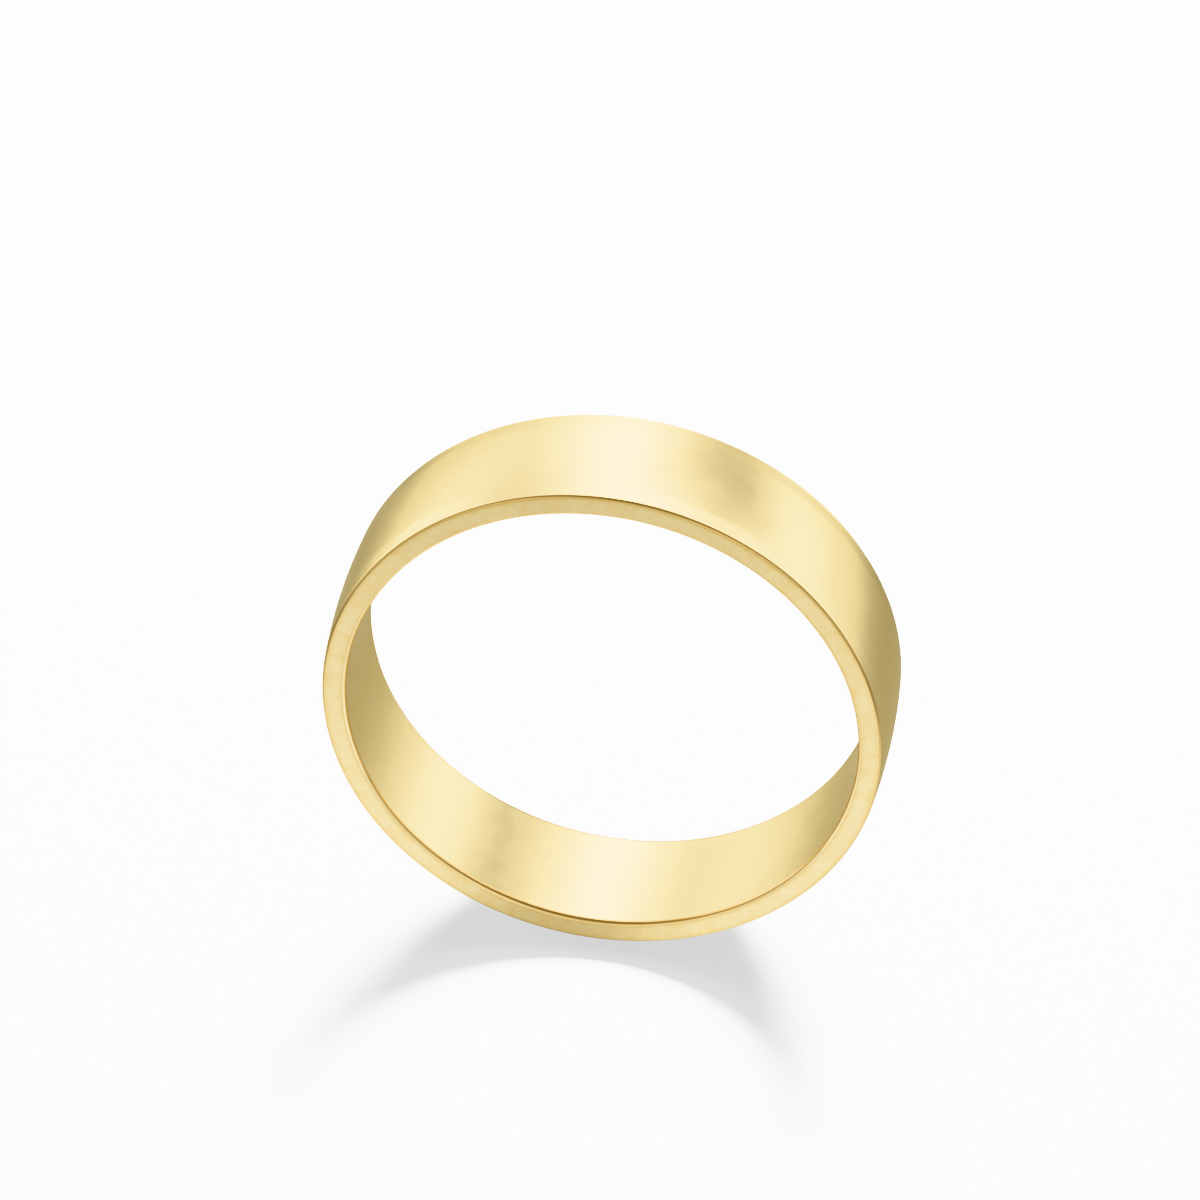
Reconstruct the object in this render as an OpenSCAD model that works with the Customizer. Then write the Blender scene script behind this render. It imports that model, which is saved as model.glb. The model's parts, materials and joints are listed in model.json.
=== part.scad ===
// Plain wedding band: one seamless ring of gold with a straight bore,
// flat sides, a barely domed outside and broken edges.
//
// Lengths are in millimetres. The origin is the centre of the bore at
// mid-width. The bore runs along Y, so the ring stands on its edge with
// +Z up, and its front side faces -Y.

/* [Finger size] */
// Inside diameter of the ring (19.0 is US size 9)
bore_d = 19.0; // [14:0.1:24]

/* [Wall] */
// Width of the band, measured along the finger
band_w = 5.0; // [3:0.1:8]
// Thickness of the wall at its two sides
side_t = 0.88; // [0.64:0.02:2]
// Height of the dome, from the sides to the middle of the outside
dome_h = 0.12; // [0.06:0.01:0.4]

/* [Broken edges] */
// Radius between the outside and each side
outer_edge_r = 0.13; // [0.08:0.01:0.25]
// Radius between the bore and each side
bore_edge_r = 0.18; // [0.08:0.01:0.3]

/* [Hidden] */

half_w = band_w / 2;
bore_r = bore_d / 2;
crown_r = bore_r + side_t + dome_h;

// The outside is an arc through its two sides and its crown
dome_r = (half_w * half_w + dome_h * dome_h) / (2 * dome_h);
dome_x = crown_r - dome_r;

// Facets in a full circle, for drawing
$fn = 240;
// The dome is a short piece of a large circle, so that circle's facets
// are counted from the number wanted across the band
dome_facets = 24;
dome_fn = ceil(2 * PI * dome_r / band_w) * dome_facets;

// Centres of the edge rounds, as radius from the ring's axis and
// distance from mid-width. An outer round would reach past the dome by
// this share of its radius, so that the two arcs cross cleanly.
round_past_dome = 0.01;
outer_edge_y = half_w - outer_edge_r;
outer_edge_x = dome_x + sqrt(dome_r * dome_r - outer_edge_y * outer_edge_y)
    - (1 - round_past_dome) * outer_edge_r;
bore_edge_y = half_w - bore_edge_r;
bore_edge_x = bore_r + bore_edge_r;

// A bar of the wall's section: from radius x0 to x1, and y to either side
module wall_bar(x0, x1, y) {
    polygon([[x0, -y], [x1, -y], [x1, y], [x0, y]]);
}

// The pair of circles that round an edge, front and back
module edge_pair(x, y, r) {
    for (side = [-1, 1]) {
        translate([x, side * y]) circle(r = r);
    }
}

// The wall cut through, with the ring's axis at x = 0
module wall_section() {
    intersection() {
        translate([dome_x, 0]) circle(r = dome_r, $fn = dome_fn);
        union() {
            wall_bar(bore_edge_x, outer_edge_x, half_w);
            wall_bar(bore_r, outer_edge_x, bore_edge_y);
            wall_bar(bore_edge_x, crown_r + dome_h, outer_edge_y);
            edge_pair(bore_edge_x, bore_edge_y, bore_edge_r);
            edge_pair(outer_edge_x, outer_edge_y, outer_edge_r);
        }
    }
}

module band() {
    color("gold") rotate([90, 0, 0]) rotate_extrude() wall_section();
}

band();
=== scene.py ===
"""A plain gold wedding band, standing on its edge on a pale table in soft studio light.

The band is one lathe-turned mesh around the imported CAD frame. Its bore axis is Y, its front
side faces -Y and +Z is up. Lengths are in metres unless a name or a comment says mm. Bearings
are in degrees: azimuth 0 is +Y, behind the band, 90 is +X, and 180 is straight in front.
"""

import json
import math
from collections import namedtuple

import bmesh
import bpy
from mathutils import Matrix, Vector


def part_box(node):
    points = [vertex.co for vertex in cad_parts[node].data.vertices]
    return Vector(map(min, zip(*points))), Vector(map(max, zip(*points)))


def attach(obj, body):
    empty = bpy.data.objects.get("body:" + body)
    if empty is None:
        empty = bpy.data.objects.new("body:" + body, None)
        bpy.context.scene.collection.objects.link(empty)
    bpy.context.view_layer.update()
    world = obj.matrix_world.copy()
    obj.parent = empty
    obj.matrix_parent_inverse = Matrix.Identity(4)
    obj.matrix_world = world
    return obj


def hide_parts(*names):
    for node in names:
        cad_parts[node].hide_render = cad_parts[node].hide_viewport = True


MM = 0.001

# The band's section, beyond what the frame gives
DOME_RISE = 0.12 * MM  # how far the outside's crown stands over its two edges
OUTER_EDGE_R = 0.13 * MM  # rounding where the outside meets a side
SEGMENTS = 720  # steps round the ring
ROUND_STEPS = 10  # steps round each broken edge
FACE_STEPS = 10  # steps across the bore, each side and each half of the dome

# The camera
CAMERA_AZIMUTH = 10.1  # degrees from straight in front, towards +X
CAMERA_ELEVATION = 38.2
LENS_MM = 240.0
SENSOR_MM = 36.0
FRAME_WIDTH = 44.1 * MM  # what the picture takes in at the band's centre
RING_OFF_CENTRE = (0.45 * MM, -3.0 * MM)  # the band's centre in the picture: right, up
CLIP_SPAN = 50  # how many times nearer and farther than the band the camera still sees


def direction(azimuth, elevation):
    """The unit vector towards a bearing."""
    a, e = math.radians(azimuth), math.radians(elevation)
    return Vector((math.sin(a) * math.cos(e), math.cos(a) * math.cos(e), math.sin(e)))


# ---- the band's mesh ------------------------------------------------------------------

Section = namedtuple("Section", "bore_r bore_half crown_r half_w side_in side_out "
                                "outer_y dome_x dome_r lean")


def measure_section(bore_r, bore_half, crown_r, half_w):
    """The section's sizes, from the bore's radius and half length, the crown's radius and
    half the width. side_in and side_out are the radii between which a side is flat. The outer
    rounds are centred at (side_out, +-outer_y) and the dome's arc at (dome_x, 0). lean is the
    angle in degrees between the radius and the dome's normal where an outer round begins."""
    dome_r = (half_w ** 2 + DOME_RISE ** 2) / (2 * DOME_RISE)
    dome_x = crown_r - dome_r
    # an outer round touches the side at half_w and the dome from inside
    outer_y = half_w - OUTER_EDGE_R
    reach = dome_r - OUTER_EDGE_R
    return Section(
        bore_r=bore_r, bore_half=bore_half, crown_r=crown_r, half_w=half_w,
        side_in=bore_r + half_w - bore_half,
        side_out=dome_x + math.sqrt(reach ** 2 - outer_y ** 2),
        outer_y=outer_y, dome_x=dome_x, dome_r=dome_r,
        lean=math.degrees(math.asin(outer_y / reach)))


def arc(centre, radius, start, stop, steps):
    """Points and outward normals of an arc in the section plane, angles in degrees."""
    made = []
    for i in range(steps + 1):
        t = math.radians(start + (stop - start) * i / steps)
        n = (math.cos(t), math.sin(t))
        made.append(((centre[0] + radius * n[0], centre[1] + radius * n[1]), n))
    return made


def line(start, stop, normal, steps):
    """Points between two ends, without the ends, all with one normal."""
    return [((start[0] + (stop[0] - start[0]) * i / steps,
              start[1] + (stop[1] - start[1]) * i / steps), normal)
            for i in range(1, steps)]


def band_outline(cut):
    """The closed section as (radius, y) points with (radial, y) normals, once round."""
    bore_edge_r = cut.side_in - cut.bore_r
    front_bore = arc((cut.side_in, -cut.bore_half), bore_edge_r, 180, 270, ROUND_STEPS)
    front_outer = arc((cut.side_out, -cut.outer_y), OUTER_EDGE_R, 270, 360 - cut.lean,
                      ROUND_STEPS)
    dome = arc((cut.dome_x, 0.0), cut.dome_r, -cut.lean, cut.lean, 2 * FACE_STEPS)[1:-1]
    back_outer = arc((cut.side_out, cut.outer_y), OUTER_EDGE_R, cut.lean, 90, ROUND_STEPS)
    back_bore = arc((cut.side_in, cut.bore_half), bore_edge_r, 90, 180, ROUND_STEPS)
    front_side = line(front_bore[-1][0], front_outer[0][0], (0, -1), FACE_STEPS)
    back_side = line(back_outer[-1][0], back_bore[0][0], (0, 1), FACE_STEPS)
    bore = line(back_bore[-1][0], front_bore[0][0], (-1, 0), FACE_STEPS)
    return (front_bore + front_side + front_outer + dome
            + back_outer + back_side + back_bore + bore)


def turn(name, outline):
    """The outline turned round the Y axis, with the outline's own normals kept."""
    bm = bmesh.new()
    rows, normals = [], []
    for i in range(SEGMENTS):
        t = 2 * math.pi * i / SEGMENTS
        c, s = math.cos(t), math.sin(t)
        rows.append([bm.verts.new((r * c, y, r * s)) for (r, y), _ in outline])
        normals += [(nr * c, ny, nr * s) for _, (nr, ny) in outline]
    count = len(outline)
    for i in range(SEGMENTS):
        here, there = rows[i], rows[(i + 1) % SEGMENTS]
        for j in range(count):
            k = (j + 1) % count
            bm.faces.new((here[j], there[j], there[k], here[k])).smooth = True
    bmesh.ops.recalc_face_normals(bm, faces=bm.faces)
    piece = add_mesh(name, bm)
    piece.data.normals_split_custom_set_from_vertices(normals)
    return piece


def add_mesh(name, bm):
    """A new object in the scene, made from a bmesh that is then freed."""
    mesh = bpy.data.meshes.new(name)
    bm.to_mesh(mesh)
    bm.free()
    made = bpy.data.objects.new(name, mesh)
    bpy.context.scene.collection.objects.link(made)
    return made


# ---- node helpers ---------------------------------------------------------------------

def new_material(name):
    """An empty node material with its output, as (material, tree, output)."""
    material = bpy.data.materials.new(name)
    material.use_nodes = True
    tree = material.node_tree
    tree.nodes.clear()
    return material, tree, tree.nodes.new("ShaderNodeOutputMaterial")


def put(tree, socket, value):
    """Links an output into a socket, or sets the socket's own value."""
    if isinstance(value, bpy.types.NodeSocket):
        tree.links.new(value, socket)
    elif value is not None:
        socket.default_value = value


def maths(tree, operation, a, b=None, c=None):
    """One Math node."""
    node = tree.nodes.new("ShaderNodeMath")
    node.operation = operation
    for socket, value in zip(node.inputs, (a, b, c)):
        put(tree, socket, value)
    return node.outputs[0]


def vector(tree, operation, a, b=None):
    """One Vector Math node."""
    node = tree.nodes.new("ShaderNodeVectorMath")
    node.operation = operation
    put(tree, node.inputs[0], a)
    put(tree, node.inputs[1], b)
    gives_number = operation in ("LENGTH", "DISTANCE", "DOT_PRODUCT")
    return node.outputs["Value" if gives_number else "Vector"]


def axes_of(tree, value):
    """A vector's three numbers, as outputs named X, Y and Z."""
    node = tree.nodes.new("ShaderNodeSeparateXYZ")
    put(tree, node.inputs[0], value)
    return node.outputs


def noise(tree, where, w, scale, detail, roughness):
    """Soft noise from 0 to 1. w, the fourth coordinate, says which pattern it is."""
    node = tree.nodes.new("ShaderNodeTexNoise")
    node.noise_dimensions = "4D"
    put(tree, node.inputs["Vector"], where)
    put(tree, node.inputs["W"], w)
    node.inputs["Scale"].default_value = scale
    node.inputs["Detail"].default_value = detail
    node.inputs["Roughness"].default_value = roughness
    return node.outputs["Fac"]


def centred(tree, value):
    """Noise about 0 instead of about a half."""
    return maths(tree, "SUBTRACT", value, 0.5)


def spread(tree, value, low, high, to_low, to_high):
    """Goes smoothly from to_low to to_high while the value goes from low to high."""
    node = tree.nodes.new("ShaderNodeMapRange")
    node.interpolation_type = "SMOOTHSTEP"
    put(tree, node.inputs["Value"], value)
    for name, number in (("From Min", low), ("From Max", high),
                         ("To Min", to_low), ("To Max", to_high)):
        node.inputs[name].default_value = number
    return node.outputs["Result"]


def window(tree, value, rise, fall, gain=1.0):
    """gain between two soft borders, each a (from, to) range of the value, and 0 beyond."""
    return maths(tree, "MULTIPLY", spread(tree, value, *rise, 0.0, gain),
                 spread(tree, value, *fall, 1.0, 0.0))


def mix_colour(tree, share, a, b):
    """Colour a where share is 0, colour b where it is 1."""
    node = tree.nodes.new("ShaderNodeMix")
    node.data_type = "RGBA"
    put(tree, node.inputs["Factor"], share)
    # the node has sockets A, B and Result for each data type, and these are the colours'
    put(tree, node.inputs[6], (*a, 1) if isinstance(a, tuple) else a)
    put(tree, node.inputs[7], (*b, 1) if isinstance(b, tuple) else b)
    return node.outputs[2]


def bump(tree, height, distance, strength, normal=None):
    """A shading normal that follows a height from 0 to 1, on top of another normal."""
    node = tree.nodes.new("ShaderNodeBump")
    put(tree, node.inputs["Height"], height)
    node.inputs["Distance"].default_value = distance
    node.inputs["Strength"].default_value = strength
    put(tree, node.inputs["Normal"], normal)
    return node.outputs["Normal"]


# ---- gold -----------------------------------------------------------------------------

GOLD = (0.912, 0.772, 0.437)
GOLD_DEEP_AND_SHADE = (0.86, 0.66, 0.28)  # in the sides' mottling, and as painted shade along their borders
GOLD_SHADE_LINE = (0.60, 0.42, 0.17)  # painted dark reflection, in thin lines along the broken edges
GOLD_EDGE = (0.85, 0.81, 0.64)  # tint of what the gold reflects towards grazing angles

# Noise: which pattern, cells per mm, detail, roughness
MOTTLE = (1.7, 2.6, 5.0, 0.62)  # the finer matt of the sides
SWELL = (4.2, 0.28, 1.0, 0.4)  # slow unevenness of the polished faces
HAZE = (8.9, 1.1, 2.0, 0.5)  # places that are a little less polished
GRAIN = (1.0, 3.0, 0.6)  # without a pattern, because that follows the radius
GRAIN_CELLS = (0.35, 9.0, 0.35)  # per mm in x, y, z: long round the ring, fine across it
GRAIN_CELLS_DEEP = 9.0  # per mm of radius

# "Facing" is how squarely a place faces along the bore's axis: 0 in the bore, nearly 0 on the
# outside and 1 on the sides. Between these lie the broken edges.
SIDE_STARTS = (0.80, 0.99)
EDGE_STARTS, EDGE_ENDS = (0.10, 0.30), (0.93, 0.998)
OUTER_LINE_STARTS = (0.30, 0.55)
BORE_LINE_STARTS, BORE_LINE_ENDS = (0.01, 0.10), (0.55, 0.75)
SIDE_LINE_STARTS, SIDE_LINE_ENDS = (0.88, 0.96), (0.997, 1.0)
OUTER_LINE, BORE_LINE, SIDE_LINE = 0.75, 0.95, 0.6  # how strong each painted dark line is
LINE_FADE_MM = 0.1  # the painted lines fade out this far into the side

# Roughness, and what is added to it
SATIN = 0.25
SIDE_ROUGH, EDGE_ROUGH = 0.08, -0.08
HAZE_ROUGH = 0.10
SPECKLE, SIDE_SPECKLE = 0.03, 0.13  # by the mottling: everywhere, and more on the sides

# How much of the deeper gold shows
DEEP_SHARE, DEEP_CONTRAST = 0.40, 2.8  # on average, and how far the mottling varies it
DEEP_WEIGHT, DEEP_SIDE_WEIGHT = 0.15, 0.70  # everywhere, and more on the sides
INNER_RIM_SHADE, OUTER_RIM_SHADE = 0.225, 0.54  # painted shade: more of the deeper gold along a side's two borders
RIM_SHADE_MM = 0.16  # how far that painted shade reaches in from a border

# Relief: height and strength
RUBBED = (0.03 * MM, 1.0)  # the outside's soft lean towards its two edges
SWELLING = (0.10 * MM, 0.5)
GRAIN_DEPTH = (0.0006 * MM, 0.2)
TOOTH = (0.008 * MM, 0.6)  # the mottling's, on the sides only
RUB_MM = (0.8, 0.05)  # how far in from the side's plane the lean starts and ends
SHELL_MM = (0.7, 0.3)  # how deep under the crown it fades in, to leave the bore out

Place = namedtuple("Place", "mm radius facing side edge mottle")


def gold_place(tree):
    """What the finish goes by: position and radius in mm, facing, how far this is a side or
    a broken edge, and the mottling."""
    metres = tree.nodes.new("ShaderNodeTexCoord").outputs["Object"]
    mm = vector(tree, "MULTIPLY", metres, (1 / MM, 1 / MM, 1 / MM))
    radius = vector(tree, "LENGTH", vector(tree, "MULTIPLY", mm, (1, 0, 1)))
    normal = tree.nodes.new("ShaderNodeNewGeometry").outputs["Normal"]
    facing = maths(tree, "ABSOLUTE", vector(tree, "DOT_PRODUCT", normal, (0, 1, 0)))
    side = spread(tree, facing, *SIDE_STARTS, 0.0, 1.0)
    edge = window(tree, facing, EDGE_STARTS, EDGE_ENDS)
    return Place(mm, radius, facing, side, edge, noise(tree, mm, *MOTTLE))


def gold_roughness(tree, at):
    """Satin with a little haze, rougher and speckled on the sides, smoother on the edges."""
    rough = maths(tree, "MULTIPLY_ADD", at.side, SIDE_ROUGH, SATIN)
    rough = maths(tree, "MULTIPLY_ADD", at.edge, EDGE_ROUGH, rough)
    haze = centred(tree, noise(tree, at.mm, *HAZE))
    rough = maths(tree, "MULTIPLY_ADD", haze, HAZE_ROUGH, rough)
    speckle = maths(tree, "MULTIPLY_ADD", at.side, SIDE_SPECKLE, SPECKLE)
    return maths(tree, "MULTIPLY_ADD", centred(tree, at.mottle), speckle, rough)


def edge_shade_lines(tree, at, side_in, side_out):
    """Painted dark reflection lines along the broken edges: one on the outer round, two on the
    bore's.
    """
    outside = maths(tree, "MULTIPLY",
                    spread(tree, at.radius, side_out - LINE_FADE_MM, side_out,
                           0.0, OUTER_LINE),
                    spread(tree, at.facing, *OUTER_LINE_STARTS, 0.0, 1.0))
    outside = maths(tree, "MULTIPLY", at.edge, outside)
    by_bore = window(tree, at.facing, BORE_LINE_STARTS, BORE_LINE_ENDS, BORE_LINE)
    by_side = window(tree, at.facing, SIDE_LINE_STARTS, SIDE_LINE_ENDS, SIDE_LINE)
    inside = maths(tree, "MULTIPLY",
                   spread(tree, at.radius, side_in, side_in + LINE_FADE_MM, 1.0, 0.0),
                   maths(tree, "ADD", by_bore, by_side))
    return maths(tree, "MAXIMUM", outside, inside)


def gold_colour(tree, at, side_in, side_out):
    """Gold, deeper in the mottling, with painted shade along the sides' borders and painted
    dark reflection lines along the broken edges.
    """
    deep_and_shade = maths(tree, "MULTIPLY_ADD", centred(tree, at.mottle), DEEP_CONTRAST, DEEP_SHARE)
    deep_and_shade = maths(tree, "MULTIPLY", deep_and_shade,
                 maths(tree, "MULTIPLY_ADD", at.side, DEEP_SIDE_WEIGHT, DEEP_WEIGHT))
    # painted shade along both borders of a side
    rim_shade = maths(tree, "ADD",
                spread(tree, at.radius, side_in, side_in + RIM_SHADE_MM, INNER_RIM_SHADE, 0.0),
                spread(tree, at.radius, side_out - RIM_SHADE_MM, side_out, 0.0, OUTER_RIM_SHADE))
    deep_and_shade = maths(tree, "MULTIPLY_ADD", rim_shade, at.side, deep_and_shade)
    # the painted dark reflection lines go over the gold
    return mix_colour(tree, edge_shade_lines(tree, at, side_in, side_out),
                      mix_colour(tree, deep_and_shade, GOLD, GOLD_DEEP_AND_SHADE), GOLD_SHADE_LINE)


def gold_relief(tree, at, crown, half_w):
    """The outside's rubbed lean, the swells, the grain and the sides' tooth, as one normal."""
    from_middle = maths(tree, "ABSOLUTE", axes_of(tree, at.mm)["Y"])
    rub_start, rub_end = (half_w - inset for inset in RUB_MM)
    shell_start, shell_end = (crown - depth for depth in SHELL_MM)
    rubbed = maths(tree, "MULTIPLY",
                   spread(tree, from_middle, rub_start, rub_end, 1.0, 0.0),
                   spread(tree, at.radius, shell_start, shell_end, 0.0, 1.0))
    grain = noise(tree, vector(tree, "MULTIPLY", at.mm, GRAIN_CELLS),
                  maths(tree, "MULTIPLY", at.radius, GRAIN_CELLS_DEEP), *GRAIN)
    normal = bump(tree, rubbed, *RUBBED)
    normal = bump(tree, noise(tree, at.mm, *SWELL), *SWELLING, normal)
    normal = bump(tree, grain, *GRAIN_DEPTH, normal)
    return bump(tree, maths(tree, "MULTIPLY", at.mottle, at.side), *TOOTH, normal)


def gold_material(cut):
    """Satin-polished gold: soft swells, fine polishing grain and a finer matt on the sides."""
    material, tree, output = new_material("gold_satin")
    shader = tree.nodes.new("ShaderNodeBsdfPrincipled")
    tree.links.new(shader.outputs[0], output.inputs["Surface"])
    shader.inputs["Metallic"].default_value = 1.0
    shader.inputs["Specular Tint"].default_value = (*GOLD_EDGE, 1)
    at = gold_place(tree)
    put(tree, shader.inputs["Roughness"], gold_roughness(tree, at))
    put(tree, shader.inputs["Base Color"],
        gold_colour(tree, at, cut.side_in / MM, cut.side_out / MM))
    put(tree, shader.inputs["Normal"],
        gold_relief(tree, at, cut.crown_r / MM, cut.half_w / MM))
    return material


# ---- table ----------------------------------------------------------------------------

TABLE_R = 2.5
TABLE_STEPS = 96
GLOW_DROP = 0.02 * MM  # how far the reflected disc lies under the seen one
PAPER = (0.56, 0.56, 0.56)

# The table's lamp
LAMP_BEARING = (2, 31)  # azimuth and elevation
LAMP_DISTANCE = 0.6
LAMP_SIZE = (0.15, 0.22)
LAMP_BRIGHTNESS = 220  # of its surface

# What the gold reflects of the table is a glowing disc with painted light: brightness all over,
# and what is added near the band, in front of it, a painted shadow at its foot, and far away,
# each with where it begins and ends
GLOW_LEVEL = 0.45
GLOW_NEAR, NEAR_REACH = 0.14, (14 * MM, 42 * MM)
GLOW_FRONT, FRONT_BORDER = 0.74, (4 * MM, -4 * MM)
# a painted shadow darkens the glow round the band's foot
GLOW_FOOT_SHADOW, FOOT_SHADOW_REACH = -0.62, (1 * MM, 7 * MM)
FOOT_AT = (-2.2 * MM, -2.8 * MM, 0)
GLOW_FAR, FAR_REACH = 0.30, (40 * MM, 160 * MM)
SHEEN, SHEEN_ROUGH = 0.08, 0.3
TABLE_WARM = (1.0, 0.93, 0.76)  # tint of the painted glow behind the band and far in front
TABLE_WHITE = (1.0, 1.07, 1.24)  # tint of the painted pool of light close in front


def table_seen_material():
    """Matt white paper, as the camera sees the table."""
    material, tree, output = new_material("table_paper")
    paper = tree.nodes.new("ShaderNodeBsdfDiffuse")
    paper.inputs["Color"].default_value = (*PAPER, 1)
    tree.links.new(paper.outputs[0], output.inputs["Surface"])
    return material


def table_glow_material():
    """The table as the gold reflects it, a glowing disc with painted light: brightest close in
    front, with a painted shadow at the band's foot.
    """
    material, tree, output = new_material("table_glow")
    place = tree.nodes.new("ShaderNodeTexCoord").outputs["Object"]
    away = vector(tree, "LENGTH", place)
    near = spread(tree, away, *NEAR_REACH, 1.0, 0.0)
    # a painted pool of light in front of the band, and a painted shadow round its foot
    front = spread(tree, axes_of(tree, place)["Y"], *FRONT_BORDER, 0.0, GLOW_FRONT)
    foot_shadow = spread(tree, vector(tree, "DISTANCE", place, FOOT_AT), *FOOT_SHADOW_REACH,
                  GLOW_FOOT_SHADOW, 0.0)
    far = spread(tree, away, *FAR_REACH, 0.0, GLOW_FAR)
    lit = maths(tree, "MULTIPLY", near, maths(tree, "ADD", front, foot_shadow))
    level = maths(tree, "MULTIPLY_ADD", near, GLOW_NEAR, GLOW_LEVEL)
    level = maths(tree, "ADD", maths(tree, "ADD", level, lit), far)
    sheet = tree.nodes.new("ShaderNodeBsdfPrincipled")
    sheet.inputs["Base Color"].default_value = (0, 0, 0, 1)
    sheet.inputs["Roughness"].default_value = SHEEN_ROUGH
    sheet.inputs["Specular IOR Level"].default_value = SHEEN
    put(tree, sheet.inputs["Emission Color"], mix_colour(tree, lit, TABLE_WARM, TABLE_WHITE))
    put(tree, sheet.inputs["Emission Strength"], level)
    tree.links.new(sheet.outputs[0], output.inputs["Surface"])
    return material


def make_disc(name, height, material):
    """A round table top, which is stage and no piece of the band."""
    bm = bmesh.new()
    bmesh.ops.create_circle(bm, cap_ends=True, segments=TABLE_STEPS, radius=TABLE_R)
    disc = add_mesh(name, bm)
    disc.location = (0, 0, height)
    disc.data.materials.append(material)
    return disc


def make_lamp(name):
    """The table's area light, which faces the band."""
    data = bpy.data.lights.new(name, "AREA")
    data.shape = "RECTANGLE"
    data.size, data.size_y = LAMP_SIZE
    # an area light's surface is as bright as its energy over four times its area
    data.energy = LAMP_BRIGHTNESS * 4 * LAMP_SIZE[0] * LAMP_SIZE[1]
    lamp = bpy.data.objects.new(name, data)
    lamp.location = direction(*LAMP_BEARING) * LAMP_DISTANCE
    lamp.rotation_euler = lamp.location.to_track_quat("Z", "Y").to_euler()
    bpy.context.scene.collection.objects.link(lamp)
    return lamp


def make_table(height):
    """A white table. In a cut-out product picture the table is bleached, so the camera sees
    one disc with its own lamp, and the gold reflects another, a glowing disc with painted light
    and a painted shadow at the band's foot."""
    seen = make_disc("table_seen", height, table_seen_material())
    seen.visible_glossy = False
    seen.visible_shadow = False
    seen.visible_diffuse = False
    glow = make_disc("table_glow", height - GLOW_DROP, table_glow_material())
    glow.visible_camera = False
    glow.visible_diffuse = False
    lit = bpy.data.collections.new("table_lamp_lights")
    lit.objects.link(seen)
    make_lamp("table_lamp").light_linking.receiver_collection = lit


# ---- studio and camera ----------------------------------------------------------------

ROOM_LEVEL = 0.78  # brightness of the walls
# Soft oval patches behind the band: azimuth, elevation, half-width, half-height, gain
PATCHES = (
    (-8, 34, 10, 16, 8.0),  # softbox behind
    (-24, 28, 16, 18, 0.45),  # its glow on the wall to the left
    (4, 58, 36, 11, 8.0),  # ceiling over the back
    (57, 42, 15, 12, 4.2),  # its right-hand end
    (-46, 13, 20, 13, 0.7),  # wall to the left behind
    (-68, 10, 14, 26, 4.8),  # panel at the left
    (37, 11, 12, 9, 2.0),  # panel to the right behind
    (48, 18, 10, 11, 1.2),  # its upper corner
    (34, 28, 17, 12, -0.50),  # dark card beside the softbox
    (72, 15, 12, 16, 3.4),  # panel at the right
)
# Soft round ones in front of it: azimuth, elevation, half-width, gain
FRONT_LOBES = (
    (180, 0, 28, 0.5),  # the wall's foot
    (164, 10, 11, 1.0),  # window at its +X end
    (-148, 22, 17, 0.7),  # window at its -X end
)
DIM_LOBE = (180, 50, 50)  # the unlit part of the room, over and behind the camera
DIM_GAIN = -0.48
BACKDROP_GAIN = 1.6  # added where the camera sees the room itself
ROOM_WARM = (1.0, 0.965, 0.83)  # tint of the walls,
LAMP_WHITE = (1.0, 1.03, 1.06)  # of the lit patches
DIM_ROOM = (1.0, 0.82, 0.55)  # and of the unlit part
LIT_RANGE = (0.75, 1.7)  # brightness over which the first tint gives way to the second


def lobe(tree, towards, azimuth, elevation, half_width):
    """How near a direction is to the given one: 1 at its middle, fading with half_width."""
    near = vector(tree, "DOT_PRODUCT", towards, tuple(direction(azimuth, elevation)))
    sharp = 1 / (1 - math.cos(math.radians(half_width)))
    power = maths(tree, "MULTIPLY", maths(tree, "SUBTRACT", near, 1.0), sharp)
    return maths(tree, "EXPONENT", power)


def bearings(tree, towards):
    """Azimuth and elevation of a direction, in radians."""
    axes = axes_of(tree, towards)
    azimuth = maths(tree, "ARCTAN2", axes["X"], axes["Y"])
    return azimuth, maths(tree, "ARCSINE", axes["Z"])


def patch(tree, azimuth, elevation, az, el, wide, tall):
    """1 in the middle of a soft oval patch, fading over the half-widths given in degrees."""
    across = maths(tree, "DIVIDE", maths(tree, "SUBTRACT", azimuth, math.radians(az)),
                   math.radians(wide))
    upward = maths(tree, "DIVIDE", maths(tree, "SUBTRACT", elevation, math.radians(el)),
                   math.radians(tall))
    total = maths(tree, "ADD", maths(tree, "MULTIPLY", across, across),
                  maths(tree, "MULTIPLY", upward, upward))
    return maths(tree, "EXPONENT", maths(tree, "MULTIPLY", total, -1.0))


def room_light(tree, towards, dim):
    """Brightness of the room in each direction."""
    azimuth, elevation = bearings(tree, towards)
    level = ROOM_LEVEL
    for *oval, gain in PATCHES:
        shape = patch(tree, azimuth, elevation, *oval)
        level = maths(tree, "MULTIPLY_ADD", shape, gain, level)
    for *spot, gain in FRONT_LOBES:
        level = maths(tree, "MULTIPLY_ADD", lobe(tree, towards, *spot), gain, level)
    return maths(tree, "MULTIPLY_ADD", dim, DIM_GAIN, level)


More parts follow.
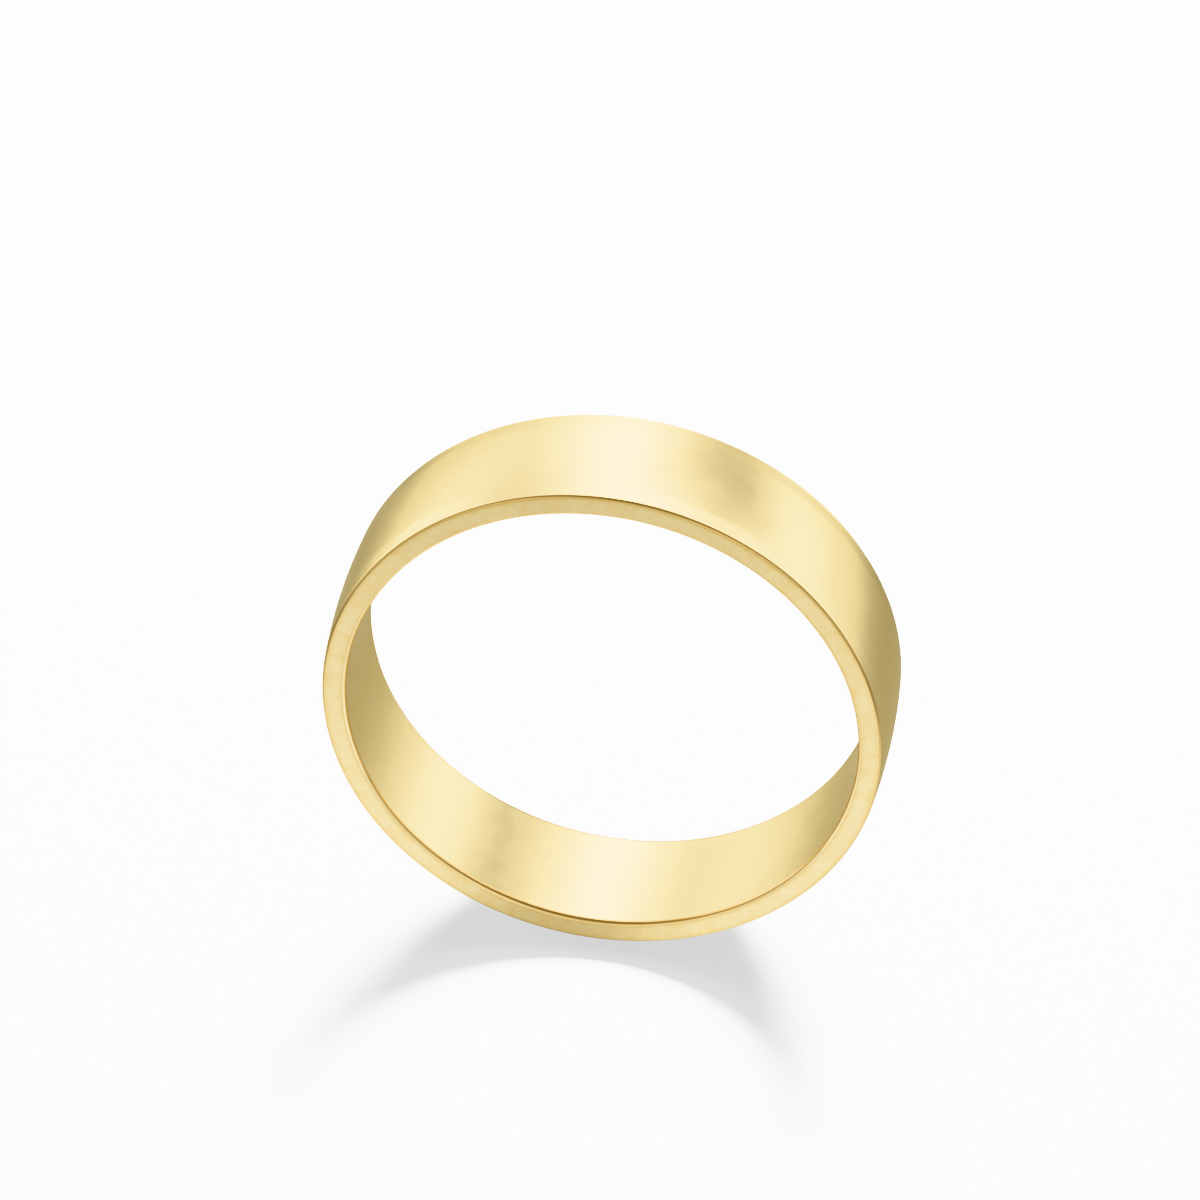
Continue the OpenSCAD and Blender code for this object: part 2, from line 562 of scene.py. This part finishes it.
def make_room():
    """Pale studio walls, with soft patches of light for the gold to reflect. Only what the
    gold reflects is tinted, so that the table and its shadow stay neutral."""
    world = bpy.data.worlds.new("studio")
    world.use_nodes = True
    bpy.context.scene.world = world
    tree = world.node_tree
    tree.nodes.clear()
    output = tree.nodes.new("ShaderNodeOutputWorld")
    towards = tree.nodes.new("ShaderNodeTexCoord").outputs["Generated"]
    rays = tree.nodes.new("ShaderNodeLightPath").outputs
    dim = lobe(tree, towards, *DIM_LOBE)
    level = maths(tree, "MULTIPLY_ADD", rays["Is Camera Ray"], BACKDROP_GAIN,
                  room_light(tree, towards, dim))
    lit = mix_colour(tree, spread(tree, level, *LIT_RANGE, 0.0, 1.0), ROOM_WARM, LAMP_WHITE)
    tint = mix_colour(tree, dim, lit, DIM_ROOM)
    back = tree.nodes.new("ShaderNodeBackground")
    put(tree, back.inputs["Color"],
        mix_colour(tree, rays["Is Glossy Ray"], (1.0, 1.0, 1.0), tint))
    put(tree, back.inputs["Strength"], level)
    tree.links.new(back.outputs[0], output.inputs["Surface"])


def make_camera():
    """The picture's camera, far off with a long lens."""
    data = bpy.data.cameras.new("camera")
    data.lens = LENS_MM
    data.sensor_width = SENSOR_MM
    distance = FRAME_WIDTH * LENS_MM / SENSOR_MM
    data.clip_start = distance / CLIP_SPAN
    data.clip_end = distance * CLIP_SPAN
    back = direction(180 - CAMERA_AZIMUTH, CAMERA_ELEVATION)  # from the band to the camera
    camera = bpy.data.objects.new("camera", data)
    camera.rotation_euler = back.to_track_quat("Z", "Y").to_euler()
    turned = camera.rotation_euler.to_matrix()
    right, up = turned.col[0], turned.col[1]
    aim = -right * RING_OFF_CENTRE[0] - up * RING_OFF_CENTRE[1]
    camera.location = aim + back * distance
    bpy.context.scene.collection.objects.link(camera)
    bpy.context.scene.camera = camera


# ---- the scene ------------------------------------------------------------------------

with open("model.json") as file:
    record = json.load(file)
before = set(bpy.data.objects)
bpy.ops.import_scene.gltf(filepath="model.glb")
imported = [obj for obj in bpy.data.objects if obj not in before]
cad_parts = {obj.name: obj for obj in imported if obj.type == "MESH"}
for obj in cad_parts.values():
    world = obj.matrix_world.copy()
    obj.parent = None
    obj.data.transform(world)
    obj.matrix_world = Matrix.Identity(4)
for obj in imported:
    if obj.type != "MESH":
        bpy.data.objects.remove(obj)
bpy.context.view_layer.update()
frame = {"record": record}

_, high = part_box("band")
bore = next(m["dims"] for m in frame["record"]["mounts"] if m["name"] == "finger_bore")
section = measure_section(
    bore_r=bore["r_mm"] * MM,
    bore_half=bore["length_mm"] * MM / 2,
    crown_r=high.x,
    half_w=high.y)
band = turn("gold_band", band_outline(section))
band.data.materials.append(gold_material(section))
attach(band, "root")
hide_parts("band")
band.visible_diffuse = False  # no gold glow on the table, which the picture doesn't show

make_table(-high.x)
make_room()
make_camera()
bpy.context.scene.view_settings.view_transform = "Khronos PBR Neutral"
